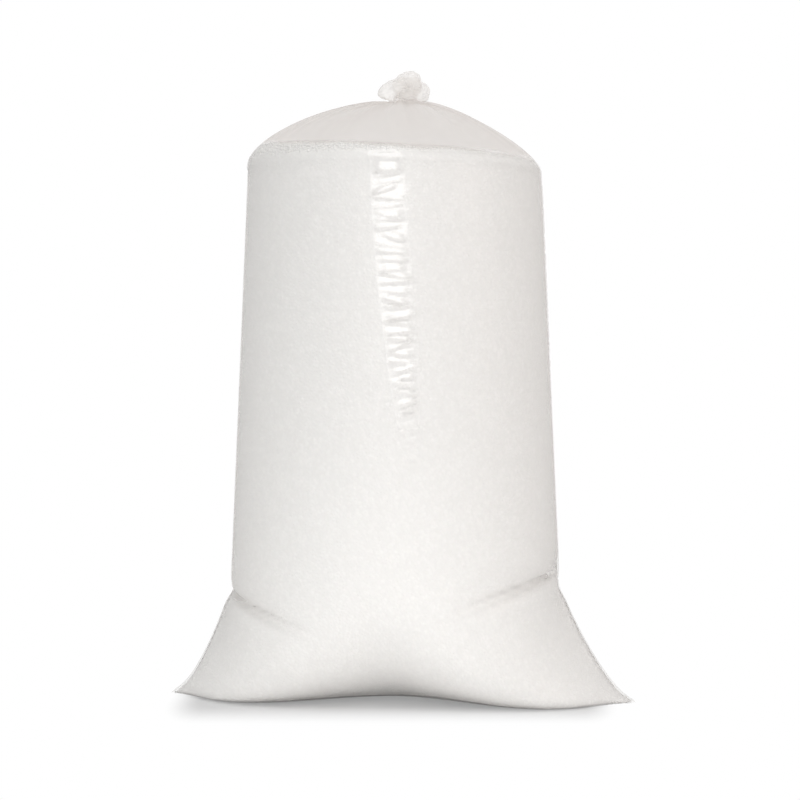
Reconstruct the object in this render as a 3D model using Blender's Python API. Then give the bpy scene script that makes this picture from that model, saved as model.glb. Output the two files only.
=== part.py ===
"""A clear polythene bag of expanded polystyrene beads, standing on its welded bottom.

The bag is one length of blown film tube. A straight weld closes its bottom, so the two bottom
corners stand out left and right as flat pointed ears. The beads fill it to the shoulder. Above
them the empty film gathers into pleats, and an overhand knot in the film itself closes the top.

Metres, +Z up. The origin is on the floor, midway between the two ears. The weld runs along X.
"""

import math

import bmesh
import bpy
from mathutils import Vector

# The film tube
FILM_THICKNESS = 0.00007  # heavy duty blown film, 70 microns
LAY_FLAT_WIDTH = 0.770  # half the girth of the tube
WELD_LENGTH = 0.760  # ear tip to ear tip

# The bottom, from the weld up to where the tube is round
BASE_HEIGHT = 0.205
BASE_HALF_WIDTH = 0.2715
BASE_RISE = 0.104  # how early the middle of the wall turns upright
UNDERSIDE_REACH = 0.105  # how far the underside runs out level before it turns up
FLOOR_PRESS = 0.005  # how much of the rounded underside the weight flattens on the floor
MID_ARCH = 0.008  # the middle of the weld is lifted off the floor
MID_ARCH_REACH = 0.209
TIP_LIFT = 0.002
TIP_LIFT_REACH = 0.061
EAR_EDGE_FADE = 6  # the higher this is, the nearer the ear's edge form stays to the edge
EAR_FLARE = 0.031  # how far the ear's edge runs in from the tip before it climbs
EAR_FLARE_RISE = 0.024
EAR_END = 0.011  # the ear's end stands this much fuller than a point
EAR_END_RUN = 0.055  # as a share of the way up to the body
EAR_TOP_SWEEP = 0.072  # how steeply the ear's edge comes up into the body
EAR_TOP_BULGE = 0.014
LOBE_REACH = 0.116  # extra level underside where the ears stand on the floor
LOBE_DROP = 0.145
LOBE_SPREAD = 0.7  # the smaller this is, the nearer the lobes come to the ear tips

# The body, and the empty dome above the beads
BODY_SHIFT = -0.0095  # the body stands a little left of the ears' middle
SHOULDER_HEIGHT = 0.865
SHOULDER_HALF_WIDTH = 0.2405
DOME_RISE = 0.112  # from the shoulder to the neck
DOME_CORNER = 0.043  # how far the wall goes on upright past the shoulder
DOME_FLAT = 0.100  # how far the top runs level out from the neck
DOME_LEAN = -0.015
PLEAT_DEPTH = 0.0024
PLEATS_START = 0.45  # how far up the dome the pleats have their full depth

# The neck, the overhand knot and its tail, in radii of the gathered film from the dome's top
GATHER_TIGHTNESS = 0.92  # how much of the gathered neck is film
NECK = Vector((0.16, 0.49, 0.0))
NECK_RUN = 0.8  # the neck starts straight up
KNOT_MIDDLE = Vector((1.89, -1.31, 3.69))
KNOT_SPREAD = Vector((1.84, 2.13, 1.30))
KNOT_TURN = math.radians(-60)
KNOT_START = -math.pi + 0.80
KNOT_END = math.pi - 0.58
TAIL = (Vector((-3.20, -2.21, 2.79)), Vector((-3.77, -1.97, 0.90)))
TAIL_FLARE = 0.003
TAIL_FLARE_START = 0.86  # as a share of the knot's path
ROPE_RIB = 0.0005
BORE_RADIUS = 0.0014  # the fine channel that is left through the gathered film
NECK_LINING = 0.0004  # the wall at the neck and round the tail's mouth
EDGE_TUCK = 0.0015  # how far in from the ears' edges the two plies are one

# The soft folds that part the ears from the body: angle and height at each end
FOLD_DEPTH = 0.007
FOLD_HALF_WIDTH = 0.016
FOLD_BOW = 0.012  # how far a fold's middle stands above a straight line
FOLD_START_FADE = 0.12
FOLD_END_FADE = 0.55
FOLDS = (
    ((182, 0.176), (256, 0.112)),
    ((359, 0.214), (290, 0.150)),
    ((178, 0.178), (118, 0.120)),
    ((3, 0.186), (62, 0.112)),
)

# The beads
BEAD_CLEARANCE = 0.0003  # between the beads' outline and the film
BEADS_ABOVE_SHOULDER = 0.028
BEAD_HEAP = 0.014
HEAP_HUMP = 0.0022  # the loose beads on top settle in low humps
HEAP_HUMP_SPACING = 0.044
HEAP_HUMP_SWERVE = 0.9  # how far the rows of humps swerve, in radians of their wave
HEAP_HUMP_SWERVES = 0.4  # how often they do, as a share of their wave
BEAD_CORNER_GAP = 0.018  # the beads do not reach into the ear tips
BEAD_CORNER_EASE = 0.25  # there they also draw in from the walls, by this share of that gap

# How finely the surfaces are cut
BORE_COLUMNS = 8
ROPE_COLUMNS = 2 * BORE_COLUMNS
COLUMNS = 3 * ROPE_COLUMNS
PLEAT_COUNT = COLUMNS // 3  # three columns to a pleat
BASE_ROWS = 12
BODY_ROWS = 7
BODY_FIRST_ROW = 0.07  # the share of the body's height where the folds have ended
BEAD_DOME_ROWS = 3
EMPTY_DOME_ROWS = 8
HEAP_ROWS = 12
KNOT_CONTROLS = 22
ROPE_STEP = 0.0048

# Sizes that follow from these
DOME_HEIGHT = SHOULDER_HEIGHT + DOME_RISE
ROPE_RADIUS = math.sqrt(2.0 * LAY_FLAT_WIDTH * FILM_THICKNESS / (math.pi * GATHER_TIGHTNESS))
DOME_TOP = Vector((0.0, 0.0, DOME_HEIGHT))


def clear_scene():
    """Start from an empty scene."""
    for old in list(bpy.data.objects):
        bpy.data.objects.remove(old, do_unlink=True)


def bezier(p0, p1, p2, p3, t):
    """A point of a cubic Bezier curve, for numbers or vectors."""
    s = 1.0 - t
    return p0 * (s * s * s) + p1 * (3 * s * s * t) + p2 * (3 * s * t * t) + p3 * (t * t * t)


def column_angles(count):
    """The angles of the columns round the tube, from +X towards +Y (the back)."""
    return [2.0 * math.pi * i / count for i in range(count)]


def half_depth(half_width):
    """Half the depth that the film's girth leaves: a tube that is wider is less deep."""
    return 2.0 * LAY_FLAT_WIDTH / math.pi - half_width


def smooth_step(x):
    x = min(max(x, 0.0), 1.0)
    return x * x * (3.0 - 2.0 * x)


def fold_push(angle, height):
    """How far the folds press the film in at an angle round the tube and a height."""
    push = 0.0
    for (angle_a, height_a), (angle_b, height_b) in FOLDS:
        past_start = (angle - math.radians(angle_a) + math.pi) % (2.0 * math.pi) - math.pi
        along = past_start / math.radians(angle_b - angle_a)
        if along < -FOLD_START_FADE or along > 1.0:
            continue
        middle = height_a + (height_b - height_a) * along + FOLD_BOW * 4.0 * along * (1.0 - along)
        fade_in = smooth_step((along + FOLD_START_FADE) / FOLD_START_FADE)
        fade = fade_in * smooth_step((1.0 - along) / FOLD_END_FADE)
        off = (height - middle) / FOLD_HALF_WIDTH
        push = max(push, FOLD_DEPTH * fade * math.exp(-off * off))
    return push


def folded(ring, heights):
    """Move a ring in towards the tube's axis by the depth of the folds at the given heights."""
    out = []
    for point, angle, height in zip(ring, column_angles(len(ring)), heights):
        out.append(point - Vector((math.cos(angle), math.sin(angle), 0.0)) * fold_push(angle, height))
    return out


def weld_height(x):
    """Height of the weld above the floor plane, before the weight presses the bottom flat."""
    arch = MID_ARCH * (1.0 - smooth_step(abs(x) / MID_ARCH_REACH))
    from_tip = 0.5 * WELD_LENGTH - abs(x)
    return arch + TIP_LIFT * smooth_step(1.0 - from_tip / TIP_LIFT_REACH)


def eased(point, gap):
    """Draw a bead corner's point in from the front or back wall and up from the underside."""
    ease = BEAD_CORNER_EASE * gap
    y = math.copysign(max(abs(point.y) - ease, 0.0), point.y)
    return Vector((point.x, y, point.z + 0.5 * ease))


def blunted(ring, gap):
    """Cut a ring off short of its two side points, along its own outline."""
    if gap == 0.0:
        return ring
    out = list(ring)
    for tip in (0, len(ring) // 2):
        side = 1.0 if tip == 0 else -1.0
        limit = side * ring[tip].x - gap
        ends = []
        for way in (1, -1):
            k = 1
            while side * ring[(tip + way * k) % len(ring)].x > limit:
                k += 1
            inner = ring[(tip + way * k) % len(ring)]
            outer = ring[(tip + way * (k - 1)) % len(ring)]
            end = inner.lerp(outer, (limit - side * inner.x) / (side * (outer.x - inner.x)))
            for i in range(1, k):
                out[(tip + way * i) % len(ring)] = inner.lerp(end, (k - i) / k)
            ends.append(end)
        out[tip] = ends[0].lerp(ends[1], 0.5)
        out = [eased(p, gap * smooth_step(1.0 - (limit - side * p.x) / (3.0 * gap))) for p in out]
    return out


def base_ring(v, inset, corner_gap):
    """One ring between the weld (v = 0) and the round tube (v = 1), set in from the outside."""
    ring = []
    outside_heights = []
    for angle in column_angles(COLUMNS):
        c = math.cos(angle)
        s = math.sin(angle)
        side = 0.0 if abs(s) < 1e-9 else math.copysign(1.0, s)
        upright = abs(s)
        lobe = abs(math.sin(2.0 * angle)) ** LOBE_SPREAD * math.sqrt(abs(c))
        half_wide = BASE_HALF_WIDTH - inset
        deep = half_depth(BASE_HALF_WIDTH) - inset
        reach = UNDERSIDE_REACH * upright + LOBE_REACH * lobe
        edge = abs(c) ** EAR_EDGE_FADE
        ply = side * max(FILM_THICKNESS - inset, 0.0)
        x = 0.5 * WELD_LENGTH * c
        start = Vector((x, ply, weld_height(x) + inset))
        level = start + Vector((-EAR_FLARE * edge * c, side * reach, EAR_FLARE_RISE * edge))
        end = Vector((BODY_SHIFT + half_wide * c, deep * s, BASE_HEIGHT))
        drop = BASE_RISE * upright + LOBE_DROP * lobe + EAR_TOP_SWEEP * (1.0 - upright)
        below = end - Vector((-EAR_TOP_BULGE * c * (1.0 - upright), 0.0, drop))
        point = bezier(start, level, below, end, v)
        point.x += c * EAR_END * edge * (v / EAR_END_RUN) * math.exp(1.0 - v / EAR_END_RUN)
        pressed = point.z - FLOOR_PRESS * (1.0 - v) ** 2
        outside_heights.append(pressed - inset * (1.0 - v) ** 2 * (1.0 + 2.0 * v))
        point.z = max(pressed, inset)
        ring.append(point)
    return folded(blunted(ring, corner_gap * (1.0 - v) ** 2), outside_heights)


def dome_profile(w):
    """Half width and height of the outline from the shoulder (w = 0) to the neck (w = 1)."""
    corner = Vector((SHOULDER_HALF_WIDTH, SHOULDER_HEIGHT))
    upright = corner + Vector((0.0, DOME_CORNER))
    neck = Vector((2.0 * ROPE_RADIUS, DOME_HEIGHT))
    level = neck + Vector((DOME_FLAT, 0.0))
    return bezier(corner, upright, level, neck, w)


def dome_normal(w):
    """The outward direction of the outline at w."""
    step = 1e-4
    a = dome_profile(max(w - step, 0.0))
    b = dome_profile(min(w + step, 1.0))
    along = (b - a).normalized()
    return Vector((along.y, -along.x))


def ring_at(centre, half_width, depth, height):
    """A level oval ring."""
    return [
        Vector((centre.x + half_width * math.cos(a), centre.y + depth * math.sin(a), height))
        for a in column_angles(COLUMNS)
    ]


def body_ring(share, inset):
    """One ring of the round body, from its base (0) to its shoulder (1)."""
    height = BASE_HEIGHT + (SHOULDER_HEIGHT - BASE_HEIGHT) * share
    outside = BASE_HALF_WIDTH + (SHOULDER_HALF_WIDTH - BASE_HALF_WIDTH) * share
    centre = Vector((BODY_SHIFT, 0.0))
    ring = ring_at(centre, outside - inset, half_depth(outside) - inset, height)
    return folded(ring, [height] * COLUMNS)


def dome_ring(w, inset):
    """One ring of the dome, with the pleats that deepen towards the neck."""
    profile = dome_profile(w) - dome_normal(w) * inset
    centre = Vector((BODY_SHIFT, 0.0)).lerp(NECK.xy * ROPE_RADIUS, smooth_step(w))
    centre.x += DOME_LEAN * math.sin(math.pi * w)
    round_off = half_depth(SHOULDER_HALF_WIDTH) / SHOULDER_HALF_WIDTH
    depth = profile.x * (round_off + (1.0 - round_off) * w)
    ring = ring_at(centre, profile.x, depth, profile.y)
    pleat = PLEAT_DEPTH * smooth_step(w / PLEATS_START) * smooth_step((1.0 - w) * EMPTY_DOME_ROWS)
    normal = dome_normal(w)
    for point, angle in zip(ring, column_angles(COLUMNS)):
        lift = pleat * math.cos(PLEAT_COUNT * angle)
        point.x += lift * normal.x * math.cos(angle)
        point.y += lift * normal.x * math.sin(angle)
        point.z += lift * normal.y
    return ring


def body_shares():
    """The share of the body's height at each of its rings: the first step only clears the folds."""
    rest = [i / (BODY_ROWS - 1) for i in range(BODY_ROWS - 1)]
    return [0.0] + [BODY_FIRST_ROW + (1.0 - BODY_FIRST_ROW) * share for share in rest]


def level_share(level):
    """The w at which the outline is at a given level."""
    low = 0.0
    high = 1.0
    for _ in range(40):
        middle = 0.5 * (low + high)
        if dome_profile(middle).y < level:
            low = middle
        else:
            high = middle
    return low


def dome_shares():
    """The w of each ring of the dome: a few up to the beads' level, the rest above it."""
    level = level_share(SHOULDER_HEIGHT + BEADS_ABOVE_SHOULDER)
    beads = [level * i / BEAD_DOME_ROWS for i in range(BEAD_DOME_ROWS + 1)]
    return beads + [level + (1.0 - level) * i / EMPTY_DOME_ROWS for i in range(1, EMPTY_DOME_ROWS)]


def knot_point(t):
    """A point of a trefoil, whose cut lobe leaves one end for the neck and one for the tail."""
    flat = Vector((math.sin(t) + 2.0 * math.sin(2.0 * t), math.cos(t) - 2.0 * math.cos(2.0 * t)))
    c = math.cos(KNOT_TURN)
    s = math.sin(KNOT_TURN)
    x = c * flat.x - s * flat.y
    z = s * flat.x + c * flat.y
    loops = Vector((KNOT_SPREAD.x * x, -KNOT_SPREAD.y * math.sin(3.0 * t), KNOT_SPREAD.z * z))
    return DOME_TOP + (KNOT_MIDDLE + loops) * ROPE_RADIUS


def knot_controls():
    """The neck, the knot and the tail as control points."""
    rises = [Vector((0.0, 0.0, rise)) for rise in (0.0, 0.5 * NECK_RUN, NECK_RUN)]
    neck = [DOME_TOP + (NECK + rise) * ROPE_RADIUS for rise in rises]
    shares = [i / (KNOT_CONTROLS - 1) for i in range(KNOT_CONTROLS)]
    knot = [knot_point(KNOT_START + (KNOT_END - KNOT_START) * share) for share in shares]
    return neck + knot + [DOME_TOP + point * ROPE_RADIUS for point in TAIL]


def knot_path():
    """The middle line of the gathered film, evenly spaced, from the neck to the tail's end."""
    controls = knot_controls()
    controls = [2 * controls[0] - controls[1]] + controls + [2 * controls[-1] - controls[-2]]
    fine = []
    for i in range(len(controls) - 3):
        a, b, c, d = controls[i : i + 4]
        for k in range(12):
            t = k / 12.0
            s = 1.0 - t
            fine.append(
                (a * s**3 + b * (3 * t**3 - 6 * t * t + 4) + c * (3 * s**3 - 6 * s * s + 4) + d * t**3) / 6
            )
    return even_points(fine, ROPE_STEP)


def even_points(points, step):
    """The same line with points at even steps."""
    lengths = [0.0]
    for a, b in zip(points, points[1:]):
        lengths.append(lengths[-1] + (b - a).length)
    count = max(round(lengths[-1] / step), 2)
    out = []
    j = 0
    for i in range(count + 1):
        wanted = lengths[-1] * i / count
        while j < len(points) - 2 and lengths[j + 1] < wanted:
            j += 1
        share = (wanted - lengths[j]) / max(lengths[j + 1] - lengths[j], 1e-12)
        out.append(points[j].lerp(points[j + 1], min(share, 1.0)))
    return out


def rope_rings(path, radius, rib, flare, columns):
    """Rings along the knot's path that turn as little as they can."""
    across = Vector((1.0, 0.0, 0.0))
    rings = []
    for i, point in enumerate(path):
        ahead = path[min(i + 1, len(path) - 1)] - path[max(i - 1, 0)]
        along = ahead.normalized()
        across = (across - along * across.dot(along)).normalized()
        other = along.cross(across)
        share = i / (len(path) - 1)
        wide = radius + flare * smooth_step((share - TAIL_FLARE_START) / (1.0 - TAIL_FLARE_START))
        ring = []
        for k, angle in enumerate(column_angles(columns)):
            r = wide + (rib if k % 2 == 0 else -rib)
            ring.append(point + (across * math.cos(angle) + other * math.sin(angle)) * r)
        rings.append(ring)
    return rings


def add_rings(bm, rings):
    """The rings' points as vertices."""
    return [[bm.verts.new(point) for point in ring] for ring in rings]


def bridge(bm, low, high, outward):
    """Faces between two rings, whose counts are a multiple of each other."""
    many = max(len(low), len(high))
    step_low = many // len(low)
    step_high = many // len(high)
    for i in range(many):
        j = (i + 1) % many
        a = low[i // step_low]
        b = low[j // step_low]
        c = high[j // step_high]
        d = high[i // step_high]
        for face in ((a, b, c), (a, c, d)):
            if len(set(face)) == 3:
                bm.faces.new(face if outward else face[::-1])


def bridge_all(bm, rings, outward):
    for low, high in zip(rings, rings[1:]):
        bridge(bm, low, high, outward)


def close_weld(bm, ring, outward):
    """The narrow strip along the weld, between the front ply and the back ply."""
    half = len(ring) // 2
    for i in range(half):
        back = [ring[i], ring[i + 1]]
        front = [ring[-i - 1], ring[-i % len(ring)]]
        face = []
        for vert in back + front:
            if vert not in face:
                face.append(vert)
        bm.faces.new(face[::-1] if outward else face)


def add_folded_ring(bm, ring):
    """A ring along the weld, where the front ply and the back ply share their points."""
    half = len(ring) // 2
    back = [bm.verts.new(point) for point in ring[: half + 1]]
    return back + back[half - 1 : 0 : -1]


def wall_rings(inset, corner_gap):
    """The rings from the weld to the end of the dome, set in from the outside."""
    rings = [base_ring(i / BASE_ROWS, inset, corner_gap) for i in range(BASE_ROWS)]
    rings += [body_ring(share, inset) for share in body_shares()]
    rings += [dome_ring(w, inset) for w in dome_shares()]
    return rings


def lining_rings(path):
    """The inner side of the film, from the weld to the neck, then the bore to the tail's mouth."""
    rings = wall_rings(FILM_THICKNESS, 0.0)
    for i, ring in enumerate(rings[:BASE_ROWS]):
        for tip in (0, COLUMNS // 2):
            inward = ring[tip - 1].lerp(ring[tip + 1], 0.5) - ring[tip]
            ring[tip] += inward.normalized() * EDGE_TUCK * (1.0 - i / BASE_ROWS) ** 2
    neck = rope_rings(path, ROPE_RADIUS - NECK_LINING, ROPE_RIB, 0.0, ROPE_COLUMNS)[0]
    drop = Vector((0.0, 0.0, NECK_LINING))
    mouth = ROPE_RADIUS + TAIL_FLARE - ROPE_RIB - NECK_LINING
    bore = rope_rings(path, BORE_RADIUS, 0.0, mouth - BORE_RADIUS, BORE_COLUMNS)[1:]
    return rings + [[point - drop for point in neck]] + bore


def film_bag():
    """The whole film: weld, ears, body, dome, neck, knot and tail, as one open tube."""
    bm = bmesh.new()
    path = knot_path()
    rope = rope_rings(path, ROPE_RADIUS, ROPE_RIB, TAIL_FLARE, ROPE_COLUMNS)
    outer = add_rings(bm, wall_rings(0.0, 0.0) + rope)
    bridge_all(bm, outer, True)
    close_weld(bm, outer[0], True)
    inside = lining_rings(path)
    inner = [add_folded_ring(bm, inside[0])] + add_rings(bm, inside[1:])
    bridge_all(bm, inner, False)
    bridge(bm, outer[-1], inner[-1], True)
    return bm


def heap_hump(x, y):
    """How high the humps of loose beads stand at a place on the heap."""
    wave = 2.0 * math.pi / (math.sqrt(2.0) * HEAP_HUMP_SPACING)
    swerve = HEAP_HUMP_SWERVE * math.sin(HEAP_HUMP_SWERVES * wave * (x - y))
    return 0.5 * HEAP_HUMP * (1.0 + math.cos(wave * x + swerve) * math.cos(wave * y - swerve))


def bead_fill():
    """All the beads as one body: the film's own rings, set in, under a low heap."""
    inset = FILM_THICKNESS + BEAD_CLEARANCE
    bm = bmesh.new()
    rings = wall_rings(inset, BEAD_CORNER_GAP)[: BASE_ROWS + BODY_ROWS + BEAD_DOME_ROWS + 1]
    rim = rings[-1]
    middle = Vector((BODY_SHIFT, 0.0, rim[0].z))
    for i in range(1, HEAP_ROWS):
        share = 1.0 - i / HEAP_ROWS
        ring = [middle.lerp(point, share) for point in rim]
        for point in ring:
            point.z += BEAD_HEAP * (1.0 - share * share) + heap_hump(point.x, point.y)
        rings.append(ring)
    verts = [add_folded_ring(bm, rings[0])] + add_rings(bm, rings[1:])
    bridge_all(bm, verts, True)
    top = bm.verts.new(middle + Vector((0.0, 0.0, BEAD_HEAP + heap_hump(middle.x, middle.y))))
    bridge(bm, verts[-1], [top], True)
    return bm


def material(name, colour, roughness, alpha=1.0):
    """A Principled material."""
    made = bpy.data.materials.new(name)
    made.use_nodes = True
    shader = made.node_tree.nodes["Principled BSDF"]
    shader.inputs["Base Color"].default_value = (*colour, 1.0)
    shader.inputs["Roughness"].default_value = roughness
    shader.inputs["Metallic"].default_value = 0.0
    shader.inputs["Alpha"].default_value = alpha
    return made


def add_object(name, bm, made):
    """One named object from a finished mesh."""
    bmesh.ops.triangulate(bm, faces=bm.faces)
    mesh = bpy.data.meshes.new(name)
    bm.to_mesh(mesh)
    bm.free()
    mesh.materials.append(made)
    mesh.shade_smooth()
    mesh.set_sharp_from_angle(angle=math.radians(50))
    item = bpy.data.objects.new(name, mesh)
    bpy.context.scene.collection.objects.link(item)
    return item


def main():
    clear_scene()
    clear_film = material("Clear_LDPE_film", (0.86, 0.87, 0.88), 0.18, 0.35)
    beads = material("White_EPS_beads", (0.88, 0.88, 0.87), 0.9)
    add_object("film_bag", film_bag(), clear_film)
    add_object("bead_fill", bead_fill(), beads)


main()
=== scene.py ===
# %% [markdown]
# A clear bag of polystyrene beads
#
# The real thing is one length of blown polythene tube, welded straight across the bottom, stuffed
# with loose white beads and closed with a knot in its own empty top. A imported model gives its
# solids at their real size. This script keeps those sizes and gives the bag its looks: a fine film
# with folds and crinkles, a mass of beads behind it, and real beads where the top is clear.

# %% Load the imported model
import math

import bmesh
import bpy
import numpy as np
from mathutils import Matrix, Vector


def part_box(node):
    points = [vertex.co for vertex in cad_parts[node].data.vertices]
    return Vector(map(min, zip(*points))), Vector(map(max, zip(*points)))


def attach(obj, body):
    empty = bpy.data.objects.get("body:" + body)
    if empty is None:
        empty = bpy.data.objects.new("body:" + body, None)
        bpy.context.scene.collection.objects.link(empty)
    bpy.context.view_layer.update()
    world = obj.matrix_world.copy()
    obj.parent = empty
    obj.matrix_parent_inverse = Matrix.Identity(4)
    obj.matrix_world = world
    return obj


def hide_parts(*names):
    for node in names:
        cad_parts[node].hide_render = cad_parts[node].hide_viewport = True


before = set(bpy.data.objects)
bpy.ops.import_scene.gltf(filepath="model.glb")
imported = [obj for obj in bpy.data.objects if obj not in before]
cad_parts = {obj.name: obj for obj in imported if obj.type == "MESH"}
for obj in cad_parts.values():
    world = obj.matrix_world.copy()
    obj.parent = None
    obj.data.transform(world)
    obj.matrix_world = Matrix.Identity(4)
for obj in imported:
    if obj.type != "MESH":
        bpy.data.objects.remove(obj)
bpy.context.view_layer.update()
film_low, film_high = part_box("film_bag")
print("Packed nodes:", ", ".join(sorted(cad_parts)))
print("Bag height in metres:", round(film_high.z - film_low.z, 3))

# %% [markdown]
# Where the camera stands
#
# A product photograph of a tall thing is taken from a few metres away with a long lens, so that its
# sides stay straight. The lens here sees the bag from four metres and from a little above its
# middle. The bag is turned a few degrees, so its right-hand corner is the nearer one.

# %% Camera
CAMERA_DISTANCE = 4.0
CAMERA_HEIGHT = 0.60
CAMERA_TURN = math.radians(8.5)
AIM_HEIGHT = 0.4906
METRES_PER_PIXEL = 0.0016446
PICTURE_SIZE = 800
MIDDLE_COLUMN = 400.5


def new_object(name, data):
    """A new object in the scene, from a mesh, curve, lamp or camera."""
    made = bpy.data.objects.new(name, data)
    bpy.context.scene.collection.objects.link(made)
    return made


def around_bag(turn, distance, height):
    """A place at a turn from the front, a distance and a height."""
    return Vector((distance * math.sin(turn), -distance * math.cos(turn), height))


def aimed(name, data, place, aim):
    """A camera or lamp at a place, aimed at another."""
    made = new_object(name, data)
    made.location = place
    made.rotation_mode = "QUATERNION"
    made.rotation_quaternion = (aim - place).to_track_quat("-Z", "Y")
    return made


camera_data = bpy.data.cameras.new("camera")
camera_data.sensor_width = 36.0
aim_distance = math.hypot(CAMERA_DISTANCE, CAMERA_HEIGHT - AIM_HEIGHT)
camera_data.lens = camera_data.sensor_width * aim_distance / (METRES_PER_PIXEL * PICTURE_SIZE)
camera_data.shift_x = (PICTURE_SIZE / 2 - MIDDLE_COLUMN) / PICTURE_SIZE
camera_place = around_bag(CAMERA_TURN, CAMERA_DISTANCE, CAMERA_HEIGHT)
bpy.context.scene.camera = aimed("camera", camera_data, camera_place, Vector((0, 0, AIM_HEIGHT)))
print("Lens in millimetres:", round(camera_data.lens, 1))

# %% [markdown]
# The tube's own rule
#
# A tube of film can't stretch, so its girth is the same all the way up. Where it is pulled wide, at
# the weld, it is flat, and where it is full of beads, it is round. The same few sizes that shape
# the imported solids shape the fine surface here, worked out for a whole grid of points at once: a
# column is an angle round the tube and a row is a step up it. A subdivision surface over the packed
# mesh was the other way, but its triangles would show in the gloss.

# %% Sizes of the tube
LAY_FLAT_WIDTH = 0.770
WELD_LENGTH = 0.760
FILM_THICKNESS = 0.00007
BASE_HEIGHT = 0.205
BASE_HALF_WIDTH = 0.2715
BASE_RISE = 0.104
UNDERSIDE_REACH = 0.105
FLOOR_PRESS = 0.005
MID_ARCH = 0.008
MID_ARCH_REACH = 0.209
TIP_LIFT = 0.002
TIP_LIFT_REACH = 0.061
EAR_EDGE_FADE = 6
EAR_FLARE = 0.031
EAR_FLARE_RISE = 0.024
EAR_END = 0.011
EAR_END_RUN = 0.055
EAR_TOP_SWEEP = 0.072
EAR_TOP_BULGE = 0.014
LOBE_REACH = 0.116
LOBE_DROP = 0.145
LOBE_SPREAD = 0.7
LOBE_SOFTNESS = 0.08
BODY_SHIFT = -0.0095
SHOULDER_HEIGHT = 0.865
SHOULDER_HALF_WIDTH = 0.2405
DOME_RISE = 0.112
DOME_CORNER = 0.043
DOME_FLAT = 0.100
DOME_LEAN = -0.015
DOME_HEIGHT = SHOULDER_HEIGHT + DOME_RISE
GATHER_TIGHTNESS = 0.92
ROPE_RADIUS = math.sqrt(2.0 * LAY_FLAT_WIDTH * FILM_THICKNESS / (math.pi * GATHER_TIGHTNESS))
NECK = Vector((0.16, 0.49, 0.0))


def smooth_step(x):
    """0 below 0, 1 above 1, and a soft step between."""
    x = np.clip(x, 0.0, 1.0)
    return x * x * (3.0 - 2.0 * x)


def bezier(p0, p1, p2, p3, t):
    """A point of a cubic Bezier curve, for numbers or arrays."""
    s = 1.0 - t
    return p0 * s**3 + p1 * (3 * s * s * t) + p2 * (3 * s * t * t) + p3 * t**3


def half_depth(half_width):
    """Half the depth that the film's girth leaves for a half width."""
    return 2.0 * LAY_FLAT_WIDTH / math.pi - half_width


def column_angles(count, crowd=0.0):
    """The angles of the columns round the tube, from +X towards the back, crowded there and in front."""
    angle = 2.0 * math.pi * np.arange(count) / count
    return angle + 0.5 * crowd * np.sin(2.0 * angle)


def row_shares(count, crowd=0.0):
    """Shares from 0 to just under 1, one for each row, crowded towards 1."""
    share = np.arange(count) / count
    return ((1.0 + crowd) * share - crowd * share * share)[:, None]


print("Girth of the film in metres:", 2.0 * LAY_FLAT_WIDTH)
print("Radius of the gathered film in millimetres:", round(ROPE_RADIUS * 1000, 2))

# %% [markdown]
# The bottom, from the weld up
#
# Each column leaves the weld level, runs out along the floor and turns up into the round body. That
# is a Bezier curve with four handles. Near the two ends of the weld the handles are short, so the
# film there stands up as the thin pointed corners that such a bag has.

# %% Bottom surface
def weld_height(x):
    """Height of the weld above the floor before the weight presses the bottom flat."""
    arch = MID_ARCH * (1.0 - smooth_step(np.abs(x) / MID_ARCH_REACH))
    from_tip = 0.5 * WELD_LENGTH - np.abs(x)
    return arch + TIP_LIFT * smooth_step(1.0 - from_tip / TIP_LIFT_REACH)


def bottom_surface(angle, v):
    """Points at an angle and a share v of the way from the weld (0) to the body (1)."""
    c = np.cos(angle) + 0.0 * v
    s = np.sin(angle) + 0.0 * v
    side = np.where(np.abs(s) < 1e-9, 0.0, np.sign(s))
    upright = np.abs(s)
    across = np.abs(c) * np.tanh(np.abs(c) / LOBE_SOFTNESS)
    lobe = (2.0 * upright * across) ** LOBE_SPREAD * np.sqrt(across)
    edge = np.abs(c) ** EAR_EDGE_FADE
    deep = half_depth(BASE_HALF_WIDTH)
    reach = UNDERSIDE_REACH * upright + LOBE_REACH * lobe
    drop = BASE_RISE * upright + LOBE_DROP * lobe + EAR_TOP_SWEEP * (1.0 - upright)
    start_x = 0.5 * WELD_LENGTH * c
    start_y = side * FILM_THICKNESS
    start_z = weld_height(start_x)
    end_x = BODY_SHIFT + BASE_HALF_WIDTH * c
    end_y = deep * s
    bulge = EAR_TOP_BULGE * c * (1.0 - upright)
    x = bezier(start_x, start_x - EAR_FLARE * edge * c, end_x + bulge, end_x, v)
    x = x + c * EAR_END * edge * (v / EAR_END_RUN) * np.exp(1.0 - v / EAR_END_RUN)
    y = bezier(start_y, start_y + side * reach, end_y, end_y, v)
    z = bezier(start_z, start_z + EAR_FLARE_RISE * edge, BASE_HEIGHT - drop, BASE_HEIGHT, v)
    z = z - FLOOR_PRESS * (1.0 - v) ** 2
    return np.stack([x, y, np.maximum(z, 0.0)], axis=-1)


# %% [markdown]
# The body and the empty dome
#
# The body is a plain oval tube that narrows a little and deepens as much. Above the shoulder the
# outline is one more Bezier curve that rounds over and runs in, nearly level, to the neck.

# %% Body and dome surface
def body_surface(angle, share):
    """Points at an angle and a share of the way up the round body."""
    half_width = BASE_HALF_WIDTH + (SHOULDER_HALF_WIDTH - BASE_HALF_WIDTH) * share
    x = BODY_SHIFT + half_width * np.cos(angle)
    y = half_depth(half_width) * np.sin(angle)
    z = BASE_HEIGHT + (SHOULDER_HEIGHT - BASE_HEIGHT) * share + 0.0 * angle
    return np.stack([x, y, z], axis=-1)


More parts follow.
